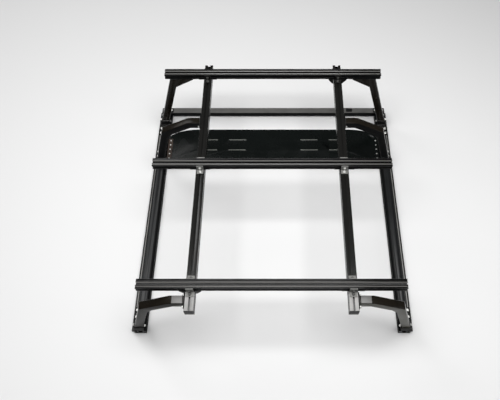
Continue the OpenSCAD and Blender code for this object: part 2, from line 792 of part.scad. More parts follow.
// angle brackets ahead of and behind a crossbar, standing on the long rails
module angles(y) {
    color([0.32, 0.32, 0.31]) for (side = SIDES, s = SIDES) on_side(side)
        translate([rail_x, y + s * bar_w / 2, rail_top + slide_gap]) difference() {
            union() {
                translate([-angle_w / 2, s > 0 ? 0 : -angle_len, 0])
                    cube([angle_w, angle_len, angle_t]);
                translate([-angle_w / 2, s > 0 ? 0 : -angle_t, 0])
                    cube([angle_w, angle_t, bar_h + saddle_t - corner_r]);
            }
            translate([0, s * angle_bolt, -over]) cylinder(r = hole_r, h = angle_t + 2 * over);
            translate([0, s * angle_t / 2, bar_h / 2 + saddle_t]) rotate([90, 0, 0])
                cylinder(r = hole_r, h = 2 * angle_t, center = true);
        }
}

// a crossbar's T-bolts: into the long rails, into its own sides and into its underside
module bar_bolts(y) {
    color([0.66, 0.66, 0.64]) for (side = SIDES, s = SIDES) on_side(side) {
        translate([rail_x, y + s * (bar_w / 2 + angle_bolt), rail_top - slot_lip - tee_gap])
            tee_bolt(tee_reach(angle_t + slide_gap));
        translate([rail_x, y + s * (bar_w / 2 - slot_lip - tee_gap), bar_mid_z])
            rotate([-s * 90, 0, 0]) rotate(90) tee_bolt(tee_reach(angle_t));
        translate([rail_x + s * saddle_bolt, y, bar_z + slot_lip + tee_gap])
            rotate([180, 0, 0]) rotate(90) tee_bolt(tee_reach(saddle_t));
    }
}

module bar_nuts(y) {
    color([0.66, 0.66, 0.64]) for (side = SIDES, s = SIDES) on_side(side) {
        translate([rail_x, y + s * (bar_w / 2 + angle_bolt), rail_top + slide_gap + angle_t])
            flange_nut();
        translate([rail_x, y + s * (bar_w / 2 + angle_t), bar_mid_z]) rotate([-s * 90, 0, 0])
            flange_nut();
        translate([rail_x + s * saddle_bolt, y, bar_z - saddle_t]) rotate([180, 0, 0]) flange_nut();
    }
}

// the front crossbar's hardware also holds the posts' top plates
module post_bolts() {
    color([0.66, 0.66, 0.64]) for (side = SIDES, x = cap_bolt_xs()) on_side(side)
        translate([x, front_bar_y, bar_z + slot_lip + tee_gap]) rotate([180, 0, 0]) rotate(90)
            tee_bolt(tee_reach(cap_t));
}

module post_nuts() {
    color([0.66, 0.66, 0.64]) for (side = SIDES, x = cap_bolt_xs()) on_side(side)
        translate([x, front_bar_y, post_top_z]) rotate([180, 0, 0]) flange_nut();
}

side_rail(-1);  // side_rail_left
side_rail(1);  // side_rail_right
rail_seal(-1);  // rail_seal_left
rail_seal(1);  // rail_seal_right
header_bar();
header_corner(-1);  // header_corner_left
header_corner(1);  // header_corner_right
header_bolts();
header_clamp();
deck_panel();
deck_strip(-1);  // deck_strip_left
deck_strip(1);  // deck_strip_right
deck_angle(-1);  // deck_angle_left
deck_angle(1);  // deck_angle_right
deck_screws();
front_post(-1);  // front_post_left
front_post(1);  // front_post_right
post_cap(-1);  // post_cap_left
post_cap(1);  // post_cap_right
corner_gusset(-1);  // corner_gusset_left
corner_gusset(1);  // corner_gusset_right
leg(-1, front_leg_y);  // leg_front_left
leg(1, front_leg_y);  // leg_front_right
leg(-1, rear_leg_y);  // leg_rear_left
leg(1, rear_leg_y);  // leg_rear_right
post_shoe(-1);  // shoe_post_left
post_shoe(1);  // shoe_post_right
leg_shoe(-1, front_leg_y);  // shoe_front_left
leg_shoe(1, front_leg_y);  // shoe_front_right
leg_shoe(-1, rear_leg_y);  // shoe_rear_left
leg_shoe(1, rear_leg_y);  // shoe_rear_right
arm_plate(-1, front_leg_y);  // arm_plate_front_left
arm_plate(1, front_leg_y);  // arm_plate_front_right
arm_plate(-1, rear_leg_y);  // arm_plate_rear_left
arm_plate(1, rear_leg_y);  // arm_plate_rear_right
arm_covers();
foot_bolts();
foot_nuts();
cross_bolts();
cross_nuts();
arm_bolts();
arm_nuts();
long_rail(-1);  // long_rail_left
long_rail(1);  // long_rail_right
rail_end_caps();
crossbar(front_bar_y);  // crossbar_front
saddles(front_bar_y, [1]);  // saddles_front
angles(front_bar_y);  // angles_front
union() { bar_bolts(front_bar_y); post_bolts(); }  // bar_bolts_front
union() { bar_nuts(front_bar_y); post_nuts(); }  // bar_nuts_front
crossbar(mid_bar_y);  // crossbar_mid
saddles(mid_bar_y, []);  // saddles_mid
angles(mid_bar_y);  // angles_mid
bar_bolts(mid_bar_y);  // bar_bolts_mid
bar_nuts(mid_bar_y);  // bar_nuts_mid
crossbar(rear_bar_y);  // crossbar_rear
saddles(rear_bar_y, [-1]);  // saddles_rear
angles(rear_bar_y);  // angles_rear
bar_bolts(rear_bar_y);  // bar_bolts_rear
bar_nuts(rear_bar_y);  // bar_nuts_rear
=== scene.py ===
import json
import math

import bmesh
import bpy
import numpy as np
from mathutils import Matrix, Vector

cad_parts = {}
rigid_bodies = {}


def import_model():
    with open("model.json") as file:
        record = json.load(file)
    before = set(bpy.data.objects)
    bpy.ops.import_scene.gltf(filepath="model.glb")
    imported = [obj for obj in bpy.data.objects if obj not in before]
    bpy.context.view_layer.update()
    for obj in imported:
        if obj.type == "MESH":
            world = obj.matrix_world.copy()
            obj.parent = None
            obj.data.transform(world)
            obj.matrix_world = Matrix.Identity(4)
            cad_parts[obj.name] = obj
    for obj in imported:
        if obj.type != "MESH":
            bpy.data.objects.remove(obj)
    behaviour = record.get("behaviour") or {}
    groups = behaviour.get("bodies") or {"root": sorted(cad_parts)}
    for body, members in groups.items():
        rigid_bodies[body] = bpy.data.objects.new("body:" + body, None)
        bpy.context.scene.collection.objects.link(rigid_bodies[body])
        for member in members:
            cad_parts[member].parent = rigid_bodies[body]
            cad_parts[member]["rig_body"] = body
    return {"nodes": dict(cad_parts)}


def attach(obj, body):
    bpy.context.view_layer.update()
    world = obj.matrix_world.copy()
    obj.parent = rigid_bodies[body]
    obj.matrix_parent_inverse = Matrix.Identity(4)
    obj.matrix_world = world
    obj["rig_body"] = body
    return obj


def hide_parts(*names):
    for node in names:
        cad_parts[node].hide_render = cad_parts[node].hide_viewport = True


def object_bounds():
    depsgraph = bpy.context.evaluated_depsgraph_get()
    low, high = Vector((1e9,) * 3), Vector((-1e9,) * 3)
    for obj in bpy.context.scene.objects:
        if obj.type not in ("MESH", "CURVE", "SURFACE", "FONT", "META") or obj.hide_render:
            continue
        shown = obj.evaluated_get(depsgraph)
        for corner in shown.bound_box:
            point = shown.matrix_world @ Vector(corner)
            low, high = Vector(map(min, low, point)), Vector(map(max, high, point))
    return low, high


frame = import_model()
cad_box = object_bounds()
nodes = frame["nodes"]

# ---------------------------------------------------------------------------
# The camera stands above the tailgate end and looks down over the rack, a
# little right of its middle. The floor is pale and the light is one big soft
# box overhead with a weaker one on each side.
# ---------------------------------------------------------------------------
EYE = (0.03, -1.727, 3.226)
LOOK_DOWN = math.radians(60.5)
SENSOR = 36.0
FOCAL_LENGTH = 38.2104
SIDE_SHIFT = -0.0546

lens = bpy.data.cameras.new("rear_view")
lens.sensor_fit = "HORIZONTAL"
lens.sensor_width = SENSOR
lens.lens = FOCAL_LENGTH
lens.shift_x = SIDE_SHIFT
camera = bpy.data.objects.new("rear_view", lens)
camera.location = EYE
camera.rotation_euler = (math.pi / 2 - LOOK_DOWN, 0, 0)
bpy.context.scene.collection.objects.link(camera)
bpy.context.scene.camera = camera
bpy.context.scene.view_settings.view_transform = "Standard"

sky = bpy.data.worlds.new("studio")
sky.use_nodes = True
sky.node_tree.nodes["Background"].inputs["Color"].default_value = (1.0, 1.0, 1.0, 1.0)
sky.node_tree.nodes["Background"].inputs["Strength"].default_value = 0.10
bpy.context.scene.world = sky


def soft_box(name, place, aim, size, power):
    """A rectangular lamp at place, facing aim."""
    lamp = bpy.data.lights.new(name, "AREA")
    lamp.shape = "RECTANGLE"
    lamp.size, lamp.size_y = size
    lamp.energy = power
    holder = bpy.data.objects.new(name, lamp)
    holder.location = place
    holder.rotation_euler = (Vector(aim) - Vector(place)).to_track_quat("-Z", "Y").to_euler()
    bpy.context.scene.collection.objects.link(holder)


soft_box("overhead", (0.0, -0.45, 4.6), (0.0, -0.30, 0.0), (4.4, 2.2), 270)
soft_box("high_left", (-3.1, 2.4, 4.0), (-0.8, 0.4, 0.0), (1.8, 2.6), 60)
soft_box("low_right", (4.2, -1.5, 1.6), (0.0, 0.0, 0.3), (1.6, 1.6), 22)

bpy.ops.mesh.primitive_plane_add(size=60, location=(0, 0, 0))
floor = bpy.context.object
floor.name = "floor"
floor_paint = bpy.data.materials.new("floor_paint")
floor_paint.use_nodes = True
floor_shader = floor_paint.node_tree.nodes["Principled BSDF"]
floor_shader.inputs["Base Color"].default_value = (0.74, 0.74, 0.74, 1.0)
floor_shader.inputs["Roughness"].default_value = 0.9
floor_shader.inputs["Specular IOR Level"].default_value = 0.1
floor.data.materials.append(floor_paint)

# ---------------------------------------------------------------------------
# Side rails: long aluminium extrusions, black powder coated, that lie on the
# bed sides. The bevelled inner edge, the top slot and its lips are drawn in
# one piece; the sawn ends are where the coat wears first. The inner strip is
# painted shade, and the top of the outer lip is painted light as a painted highlight.
# ---------------------------------------------------------------------------


def node_group(name, inputs, outputs):
    """An empty shader group with float inputs [(name, default)] and outputs [(name, kind)]."""
    group = bpy.data.node_groups.new(name, "ShaderNodeTree")
    for label, default in inputs:
        socket = group.interface.new_socket(name=label, in_out="INPUT", socket_type="NodeSocketFloat")
        socket.default_value = default
    for label, kind in outputs:
        group.interface.new_socket(name=label, in_out="OUTPUT", socket_type=kind)
    return group, group.nodes.new("NodeGroupInput"), group.nodes.new("NodeGroupOutput")


def maths(tree, operation, first, second=None, clamp=False):
    """A Math node; numbers go on its sockets and sockets are linked."""
    node = tree.nodes.new("ShaderNodeMath")
    node.operation = operation
    node.use_clamp = clamp
    for place, value in enumerate((first, second)):
        if value is None:
            continue
        if isinstance(value, (int, float)):
            node.inputs[place].default_value = value
        else:
            tree.links.new(value, node.inputs[place])
    return node.outputs[0]


def noise(tree, vector, scale, detail=3.0, rough=0.55):
    """Noise on a vector, with a plain or a linked scale."""
    node = tree.nodes.new("ShaderNodeTexNoise")
    node.inputs["Detail"].default_value = detail
    node.inputs["Roughness"].default_value = rough
    if isinstance(scale, (int, float)):
        node.inputs["Scale"].default_value = scale
    else:
        tree.links.new(scale, node.inputs["Scale"])
    tree.links.new(vector, node.inputs["Vector"])
    return node.outputs["Fac"]


def stretched(tree, scale):
    """Object coordinates stretched by scale along each axis."""
    place = tree.nodes.new("ShaderNodeTexCoord")
    mapping = tree.nodes.new("ShaderNodeMapping")
    mapping.inputs["Scale"].default_value = scale
    tree.links.new(place.outputs["Object"], mapping.inputs["Vector"])
    return mapping.outputs["Vector"]


# where a coat is rubbed through along sharp edges, in patches
worn_edges, group_in, group_out = node_group(
    "worn_edges", [("Radius", 0.0015), ("Patch Scale", 30.0), ("Gain", 4.0)], [("Mask", "NodeSocketFloat")])
rounded = worn_edges.nodes.new("ShaderNodeBevel")
rounded.samples = 6
worn_edges.links.new(group_in.outputs["Radius"], rounded.inputs["Radius"])
surface = worn_edges.nodes.new("ShaderNodeNewGeometry")
facing = worn_edges.nodes.new("ShaderNodeVectorMath")
facing.operation = "DOT_PRODUCT"
worn_edges.links.new(rounded.outputs["Normal"], facing.inputs[0])
worn_edges.links.new(surface.outputs["Normal"], facing.inputs[1])
turn = maths(worn_edges, "SUBTRACT", 1.0, facing.outputs["Value"])
patches = noise(worn_edges, stretched(worn_edges, (1, 1, 1)), group_in.outputs["Patch Scale"], 4.0)
patches = maths(worn_edges, "SUBTRACT", patches, 0.35, clamp=True)
rubbed = maths(worn_edges, "MULTIPLY", maths(worn_edges, "MULTIPLY", turn, patches),
               group_in.outputs["Gain"], clamp=True)
worn_edges.links.new(rubbed, group_out.inputs["Mask"])

# dust that lies on faces that look up, thicker in blotches
settled_dust, group_in, group_out = node_group(
    "settled_dust", [("Scale", 9.0), ("Amount", 0.3)], [("Mask", "NodeSocketFloat")])
surface = settled_dust.nodes.new("ShaderNodeNewGeometry")
apart = settled_dust.nodes.new("ShaderNodeSeparateXYZ")
settled_dust.links.new(surface.outputs["Normal"], apart.inputs[0])
upward = maths(settled_dust, "POWER", maths(settled_dust, "MAXIMUM", apart.outputs["Z"], 0.0), 3.0)
blotch = noise(settled_dust, stretched(settled_dust, (1, 1, 1)), group_in.outputs["Scale"], 6.0, 0.65)
settled = maths(settled_dust, "MULTIPLY", maths(settled_dust, "MULTIPLY", upward, blotch),
                group_in.outputs["Amount"], clamp=True)
settled_dust.links.new(settled, group_out.inputs["Mask"])

# the fine pebbled skin of a powder coat
pebble_skin, group_in, group_out = node_group(
    "pebble_skin", [("Scale", 900.0)], [("Height", "NodeSocketFloat"), ("Cloud", "NodeSocketFloat")])
pebble_skin.links.new(noise(pebble_skin, stretched(pebble_skin, (1, 1, 1)), group_in.outputs["Scale"], 2.0),
                      group_out.inputs["Height"])
pebble_skin.links.new(noise(pebble_skin, stretched(pebble_skin, (1, 1, 1)), 11.0, 4.0),
                      group_out.inputs["Cloud"])


def placed(tree, group, **values):
    """One use of a shared group, with its own values."""
    node = tree.nodes.new("ShaderNodeGroup")
    node.node_tree = group
    for label, value in values.items():
        node.inputs[label.replace("_", " ")].default_value = value
    return node


def mixed(tree, mask, under, over):
    """A colour mix; colours are plain or linked."""
    node = tree.nodes.new("ShaderNodeMix")
    node.data_type = "RGBA"
    tree.links.new(mask, node.inputs["Factor"])
    for label, value in (("A", under), ("B", over)):
        socket = [s for s in node.inputs if s.name == label and s.type == "RGBA"][0]
        if isinstance(value, tuple):
            socket.default_value = (*value, 1.0)
        else:
            tree.links.new(value, socket)
    return [s for s in node.outputs if s.type == "RGBA"][0]


def ranged(tree, value, low, high):
    """value from 0..1 carried to low..high."""
    node = tree.nodes.new("ShaderNodeMapRange")
    tree.links.new(value, node.inputs["Value"])
    node.inputs["To Min"].default_value = low
    node.inputs["To Max"].default_value = high
    return node.outputs["Result"]


def bumped(tree, height, strength, distance):
    """A Bump node on a height."""
    node = tree.nodes.new("ShaderNodeBump")
    node.inputs["Strength"].default_value = strength
    node.inputs["Distance"].default_value = distance
    tree.links.new(height, node.inputs["Height"])
    return node.outputs["Normal"]


DUST = (0.30, 0.29, 0.27)
BARE_METAL = (0.55, 0.55, 0.54)


def powder_coat(name, colour, lighter, rough, gloss=0.25, wear=3.0, dust=0.02, primer=BARE_METAL):
    """Baked powder coat: cloudy colour, pebbled skin, rubbed edges and a little dust."""
    paint = bpy.data.materials.new(name)
    paint.use_nodes = True
    tree = paint.node_tree
    shader = tree.nodes["Principled BSDF"]
    shader.inputs["Specular IOR Level"].default_value = gloss
    skin = placed(tree, pebble_skin)
    rub = placed(tree, worn_edges, Gain=wear)
    film = placed(tree, settled_dust, Amount=dust)
    base = mixed(tree, skin.outputs["Cloud"], colour, lighter)
    base = mixed(tree, rub.outputs["Mask"], base, primer)
    base = mixed(tree, film.outputs["Mask"], base, DUST)
    tree.links.new(base, shader.inputs["Base Color"])
    sheen = ranged(tree, skin.outputs["Cloud"], rough - 0.08, rough + 0.10)
    tree.links.new(sheen, shader.inputs["Roughness"])
    tree.links.new(bumped(tree, skin.outputs["Height"], 0.25, 0.0004), shader.inputs["Normal"])
    return paint


def edges_broken(piece, width, rows, sharp):
    """Bevel every edge sharper than sharp degrees, then shade smoothly across the small angles."""
    bpy.ops.object.select_all(action="DESELECT")
    bpy.context.view_layer.objects.active = piece
    piece.select_set(True)
    broken = piece.modifiers.new("broken_edges", "BEVEL")
    broken.limit_method = "ANGLE"
    broken.angle_limit = math.radians(sharp)
    broken.width = width
    broken.segments = rows
    broken.use_clamp_overlap = False
    bpy.ops.object.modifier_apply(modifier=broken.name)
    bpy.ops.object.shade_smooth_by_angle(angle=math.radians(35))


def dressed(node, name, finish, edge=0.0008, rows=2):
    """A worked copy of a node that stands for it: doubles merged, flats joined, edges broken, finished."""
    mesh = nodes[node].data.copy()
    piece = bpy.data.objects.new(name, mesh)
    bpy.context.scene.collection.objects.link(piece)
    bpy.ops.object.select_all(action="DESELECT")
    bpy.context.view_layer.objects.active = piece
    piece.select_set(True)
    bpy.ops.object.mode_set(mode="EDIT")
    bpy.ops.mesh.select_all(action="SELECT")
    bpy.ops.mesh.remove_doubles(threshold=0.00001)
    bpy.ops.mesh.dissolve_limited(angle_limit=math.radians(0.5))
    bpy.ops.object.mode_set(mode="OBJECT")
    if edge:
        edges_broken(piece, edge, rows, 30)
    mesh.materials.clear()
    mesh.materials.append(finish)
    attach(piece, nodes[node]["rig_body"])
    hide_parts(node)
    piece.select_set(False)
    return piece


def recoated(piece, finish, chosen):
    """Give finish to the faces for which chosen(centre, normal) holds."""
    piece.data.materials.append(finish)
    place = len(piece.data.materials) - 1
    for face in piece.data.polygons:
        if chosen(face.center, face.normal):
            face.material_index = place


def parted(piece, axis, places, top):
    """Cut the upward faces at height top along planes square to axis (0 for X, 1 for Y)."""
    bpy.ops.object.select_all(action="DESELECT")
    bpy.context.view_layer.objects.active = piece
    piece.select_set(True)
    bpy.ops.object.mode_set(mode="EDIT")
    bpy.ops.mesh.select_mode(type="FACE")
    for place in places:
        work = bmesh.from_edit_mesh(piece.data)
        for face in work.faces:
            face.select_set(face.normal.z > 0.99 and abs(face.calc_center_median().z - top) < 0.0002)
        bmesh.update_edit_mesh(piece.data)
        point = [0, 0, top]
        square = [0, 0, 0]
        point[axis] = place
        square[axis] = 1
        bpy.ops.mesh.bisect(plane_co=point, plane_no=square)
    bpy.ops.object.mode_set(mode="OBJECT")
    piece.select_set(False)


RAIL_TOP = 0.050
INNER_STRIP = 0.784
LIP_NEAR = 0.832
LIP_FAR = 0.8385
rail_paint = powder_coat("rail_paint", (0.0035, 0.004, 0.0045), (0.008, 0.009, 0.010), 0.34,
                         wear=4.0, dust=0.03)
shaded_paint = powder_coat("shaded_paint", (0.001, 0.0012, 0.0014), (0.003, 0.0032, 0.0034), 0.45,
                           gloss=0.05)
lip_highlight = powder_coat("lip_highlight", (0.05, 0.05, 0.048), (0.26, 0.255, 0.24), 0.40, gloss=0.4, wear=2.0)
for side in ("left", "right"):
    rail = dressed("side_rail_" + side, "side_rail_" + side + "_extrusion", rail_paint, edge=0)
    parted(rail, 0, (-LIP_FAR, -INNER_STRIP, INNER_STRIP, LIP_FAR), RAIL_TOP)
    recoated(rail, shaded_paint, lambda c, n: abs(c.x) < INNER_STRIP)
    # The top of the outer lip is painted light: a painted highlight.
    recoated(rail, lip_highlight, lambda c, n: n.z > 0.9 and c.z > RAIL_TOP - 0.001
             and LIP_NEAR < abs(c.x) < LIP_FAR + 0.0001)
    edges_broken(rail, 0.0009, 2, 30)

# ---------------------------------------------------------------------------
# Seals: soft black rubber bulb strips, extruded by the metre and pressed along
# the outside of each side rail. Rubber is dull and holds more dust than paint.
# ---------------------------------------------------------------------------
seal_rubber = powder_coat("seal_rubber", (0.005, 0.005, 0.005), (0.010, 0.010, 0.010), 0.70,
                          wear=0.0, dust=0.05)
for side in ("left", "right"):
    dressed("rail_seal_" + side, "rail_seal_" + side + "_bulb", seal_rubber, edge=0.0004)

# ---------------------------------------------------------------------------
# Header bar: a rectangular tube across the front with a plain satin coat,
# held to the side rails by a flat corner bracket at each end. A moulded black
# clamp sits on its right half.
# ---------------------------------------------------------------------------
header_paint = powder_coat("header_paint", (0.065, 0.065, 0.063), (0.150, 0.148, 0.142), 0.45,
                           gloss=0.15, dust=0.12)
plate_paint = powder_coat("plate_paint", (0.0015, 0.0015, 0.0015), (0.006, 0.006, 0.0055), 0.42,
                          gloss=0.10, wear=5.0)
header = dressed("header_bar", "header_bar_tube", header_paint, edge=0.0014, rows=3)
recoated(header, shaded_paint, lambda c, n: abs(n.y) > 0.5 or n.z < -0.5)
for point in header.data.vertices:
    point.co.y = min(point.co.y, cad_box[1][1])
for side in ("left", "right"):
    dressed("header_corner_" + side, "header_corner_" + side + "_plate", plate_paint, edge=0.0007)
moulded_black = powder_coat("moulded_black", (0.004, 0.004, 0.004), (0.009, 0.009, 0.009), 0.50, wear=0.0)
dressed("header_clamp", "header_clamp_body", moulded_black, edge=0.0015, rows=3)

# ---------------------------------------------------------------------------
# Deck: one folded black steel sheet with pressed ribs, lying between the side
# rails on two angles and held from above by a strip with a row of screws.
# ---------------------------------------------------------------------------
RIB_CREST = 0.0465
RIBS_WITHIN = 0.60
deck_paint = powder_coat("deck_paint", (0.0016, 0.0026, 0.0024), (0.003, 0.0046, 0.0042), 0.26,
                         gloss=0.22, wear=1.5, dust=0.006)
strip_paint = powder_coat("strip_paint", (0.012, 0.008, 0.006), (0.045, 0.028, 0.020), 0.50,
                          wear=8.0, dust=0.04, primer=(0.40, 0.30, 0.24))
deck = dressed("deck_panel", "deck_panel_sheet", deck_paint, edge=0.0018, rows=3)
crest_highlight = powder_coat("crest_highlight", (0.02, 0.022, 0.019), (0.20, 0.21, 0.19), 0.35,
                           gloss=0.3, wear=0.0)
# The crests of the pressed ribs are painted light: a painted highlight.
recoated(deck, crest_highlight, lambda c, n: n.z > 0.8 and c.z > RIB_CREST and abs(c.x) < RIBS_WITHIN)
for side in ("left", "right"):
    strip = strip_paint if side == "left" else deck_paint
    dressed("deck_strip_" + side, "deck_strip_" + side + "_bar", strip, edge=0.0006)
    dressed("deck_angle_" + side, "deck_angle_" + side + "_iron", plate_paint, edge=0.0006)

# ---------------------------------------------------------------------------
# Posts and legs: steel box tube, mitred at the elbows and painted gloss black.
# Each stands in a sleeve welded on a shoe, and is welded to a plate where it
# ends: a cap under the front crossbar, or a flange against a long rail.
# ---------------------------------------------------------------------------
SHOE_X = 0.808
SHOE_TOP = 0.0570
POST_Y = 0.737
POST_TOP_X = 0.659
POST_TOP_Z = 0.5438
ARM_Z = 0.5197
LEG_PLACES = (("front", 0.369), ("rear", -0.810))
POST_LEAN = math.atan2(0.150, 0.489)
LEG_LEAN = math.atan2(0.108, 0.374)


def weld(piece, middle, wide, deep, turn, thick=0.0022):
    """Join to piece a weld bead round a wide x deep rectangle, turned and moved to its place."""
    bpy.ops.object.select_all(action="DESELECT")
    bpy.ops.mesh.primitive_plane_add(size=1)
    bead = bpy.context.object
    bpy.ops.object.mode_set(mode="EDIT")
    bpy.ops.mesh.select_all(action="SELECT")
    bpy.ops.transform.resize(value=(wide, deep, 1))
    bpy.ops.mesh.bevel(offset=0.004, segments=3, affect="VERTICES")
    bpy.ops.mesh.subdivide(number_cuts=1)
    bpy.ops.mesh.select_all(action="SELECT")
    bpy.ops.mesh.delete(type="ONLY_FACE")
    bpy.ops.object.mode_set(mode="OBJECT")
    for point in bead.data.vertices:
        point.co = Matrix.Rotation(turn, 3, "Y") @ point.co + Vector(middle)
    bpy.ops.object.convert(target="CURVE")
    bead.data.bevel_depth = thick
    bead.data.bevel_resolution = 3
    bpy.ops.object.convert(target="MESH")
    bead.data.materials.append(weld_paint)
    bpy.ops.object.shade_smooth()
    piece.select_set(True)
    bpy.context.view_layer.objects.active = piece
    bpy.ops.object.join()
    piece.select_set(False)


weld_paint = powder_coat("weld_paint", (0.004, 0.004, 0.004), (0.014, 0.013, 0.012), 0.36,
                         gloss=0.35, wear=1.0)
weld_tree = weld_paint.node_tree
ripple = placed(weld_tree, pebble_skin, Scale=420.0)
weld_tree.links.new(bumped(weld_tree, ripple.outputs["Height"], 0.9, 0.0012),
                    weld_tree.nodes["Principled BSDF"].inputs["Normal"])
leg_back = powder_coat("leg_back", (0.003, 0.003, 0.002), (0.012, 0.012, 0.008), 0.32, gloss=0.07, wear=3.0)
back_reflection = powder_coat("back_reflection", (0.016, 0.016, 0.009), (0.065, 0.063, 0.042), 0.32, gloss=0.25, wear=3.0)
rim_highlight = powder_coat("rim_highlight", (0.04, 0.04, 0.038), (0.18, 0.18, 0.17), 0.40, gloss=0.4, wear=2.0)
tube_paint = powder_coat("tube_paint", (0.0022, 0.0017, 0.0011), (0.011, 0.008, 0.0045), 0.24,
                         gloss=0.16, wear=2.5)
for side, sign in (("left", -1), ("right", 1)):
    dressed("front_post_" + side, "front_post_" + side + "_tube", tube_paint, edge=0.004, rows=3)
    cap = dressed("post_cap_" + side, "post_cap_" + side + "_plate", tube_paint, edge=0.0008)
    weld(cap, (sign * POST_TOP_X, POST_Y, POST_TOP_Z), 0.050 / math.cos(POST_LEAN), 0.044, 0)
    dressed("corner_gusset_" + side, "corner_gusset_" + side + "_fold", tube_paint, edge=0.001)
    shoe = dressed("shoe_post_" + side, "shoe_post_" + side + "_weldment", plate_paint, edge=0.0008)
    rim = max(point.co.z for point in shoe.data.vertices) - 0.002
    # The rear part of the shoe's top rim is painted light grey: a painted highlight.
    recoated(shoe, rim_highlight, lambda c, n: n.z > 0.5 and c.z > rim and c.y < POST_Y - 0.022)
    weld(shoe, (sign * SHOE_X, POST_Y, SHOE_TOP), 0.058 / math.cos(POST_LEAN), 0.054, 0)
    for end, middle in LEG_PLACES:
        leg = dressed(f"leg_{end}_{side}", f"leg_{end}_{side}_tube", tube_paint, edge=0.004, rows=3)
        # The rear faces of the legs are painted shade.
        back = shaded_paint
        if end == "rear":
            # The left rear leg's rear face is a dark olive painted shade, and the right rear leg's a lighter
            # olive grey painted reflection.
            back = leg_back if side == "left" else back_reflection
        recoated(leg, back, lambda c, n: n.y < -0.9)
        shoe = dressed(f"shoe_{end}_{side}", f"shoe_{end}_{side}_weldment", plate_paint, edge=0.0008)
        weld(shoe, (sign * SHOE_X, middle, SHOE_TOP), 0.058 / math.cos(LEG_LEAN), 0.054, 0)
        flange = dressed(f"arm_plate_{end}_{side}", f"arm_plate_{end}_{side}_flange", plate_paint,
                         edge=0.0012)
        reach = max(abs(point.co.x) for point in flange.data.vertices)
        weld(flange, (sign * (reach + 0.0004), middle, ARM_Z), 0.048, 0.044, math.pi / 2, 0.0018)

# ---------------------------------------------------------------------------
# Arm covers: thin coated plates laid on the level part of each arm. Those on
# the rear arms are painted light grey as a painted reflection, and those on the
# front arms black.
# ---------------------------------------------------------------------------
pad_reflection = powder_coat("pad_reflection", (0.06, 0.06, 0.058), (0.17, 0.165, 0.16), 0.42, gloss=0.4, wear=2.0)
pads = dressed("arm_covers", "arm_cover_plates", pad_reflection, edge=0.0006)
recoated(pads, tube_paint, lambda c, n: c.y > 0)

# ---------------------------------------------------------------------------
# Long rails and crossbars: black anodised slotted extrusions. The die leaves
# fine straight lines along each bar. The rear flanks of the crossbar ridges are
# painted light as a painted highlight, the tops of the long rails' rear ends are
# painted light grey as a painted reflection, and the crossbars' rear walls are painted shade.
# ---------------------------------------------------------------------------


def black_anodise(name, along, colour, lighter, rough):
    """Anodised extrusion: die lines along one axis and rubbed lips."""
    skin = bpy.data.materials.new(name)
    skin.use_nodes = True
    tree = skin.node_tree
    shader = tree.nodes["Principled BSDF"]
    shader.inputs["Specular IOR Level"].default_value = 0.36
    lines = noise(tree, stretched(tree, tuple(1.5 if axis == along else 420 for axis in "xyz")), 1.0, 3.0)
    broad = noise(tree, stretched(tree, tuple(0.8 if axis == along else 30 for axis in "xyz")), 1.0, 2.0)
    rub = placed(tree, worn_edges, Radius=0.0008, Gain=2.0, Patch_Scale=14.0)
    film = placed(tree, settled_dust, Amount=0.015)
    base = mixed(tree, broad, colour, lighter)
    base = mixed(tree, rub.outputs["Mask"], base, BARE_METAL)
    base = mixed(tree, film.outputs["Mask"], base, DUST)
    tree.links.new(base, shader.inputs["Base Color"])
    tree.links.new(ranged(tree, lines, rough - 0.06, rough + 0.08), shader.inputs["Roughness"])
    tree.links.new(bumped(tree, lines, 0.20, 0.0003), shader.inputs["Normal"])
    return skin


REFLECTION_BEHIND = -0.768
LIPS_ABOVE = 0.586
REAR_FLANKS = ((0.0045, 0.0090), (-0.0180, -0.0135))
REAR_WALL = -0.026
rail_skin = black_anodise("rail_skin", "y", (0.002, 0.002, 0.002), (0.010, 0.010, 0.009), 0.19)
bar_skin = black_anodise("bar_skin", "x", (0.0012, 0.0012, 0.0012), (0.005, 0.005, 0.005), 0.18)
end_reflection = powder_coat("end_reflection", (0.07, 0.07, 0.068), (0.42, 0.41, 0.40), 0.38, gloss=0.4, wear=3.0)
for side in ("left", "right"):
    rail = dressed("long_rail_" + side, "long_rail_" + side + "_extrusion", rail_skin, edge=0)
    top = max(point.co.z for point in rail.data.vertices)
    parted(rail, 1, (REFLECTION_BEHIND,), top)
    # The tops of the long rails' rear ends are painted light grey: a painted reflection.
    recoated(rail, end_reflection, lambda c, n: n.z > 0.9 and c.z > top - 0.001 and c.y < REFLECTION_BEHIND)
    edges_broken(rail, 0.0007, 2, 30)
dressed("rail_end_caps", "rail_end_cap_pair", moulded_black, edge=0.0006)


def ridged(piece, middle, top):
    """Raise two ridges beside a crossbar's top slot by letting its mouth and two side grooves down."""
    cuts = (0.0090, 0.0135, 0.0180, 0.0215, 0.0235)
    parted(piece, 1, [middle + side * cut for cut in cuts for side in (-1, 1)], top)
    bpy.ops.object.select_all(action="DESELECT")
    bpy.context.view_layer.objects.active = piece
    piece.select_set(True)
    bpy.ops.object.mode_set(mode="EDIT")
    bpy.ops.mesh.select_mode(type="VERT")
    for near, far, drop in ((0.0, 0.0050, 0.0030), (0.0175, 0.0220, 0.0026)):
        work = bmesh.from_edit_mesh(piece.data)
        for point in work.verts:
            off = abs(point.co.y - middle)
            point.select_set(point.co.z > top - 0.0001 and near <= off <= far)
        work.select_flush_mode()
        bmesh.update_edit_mesh(piece.data)
        bpy.ops.transform.translate(value=(0, 0, -drop))
    bpy.ops.object.mode_set(mode="OBJECT")
    piece.select_set(False)


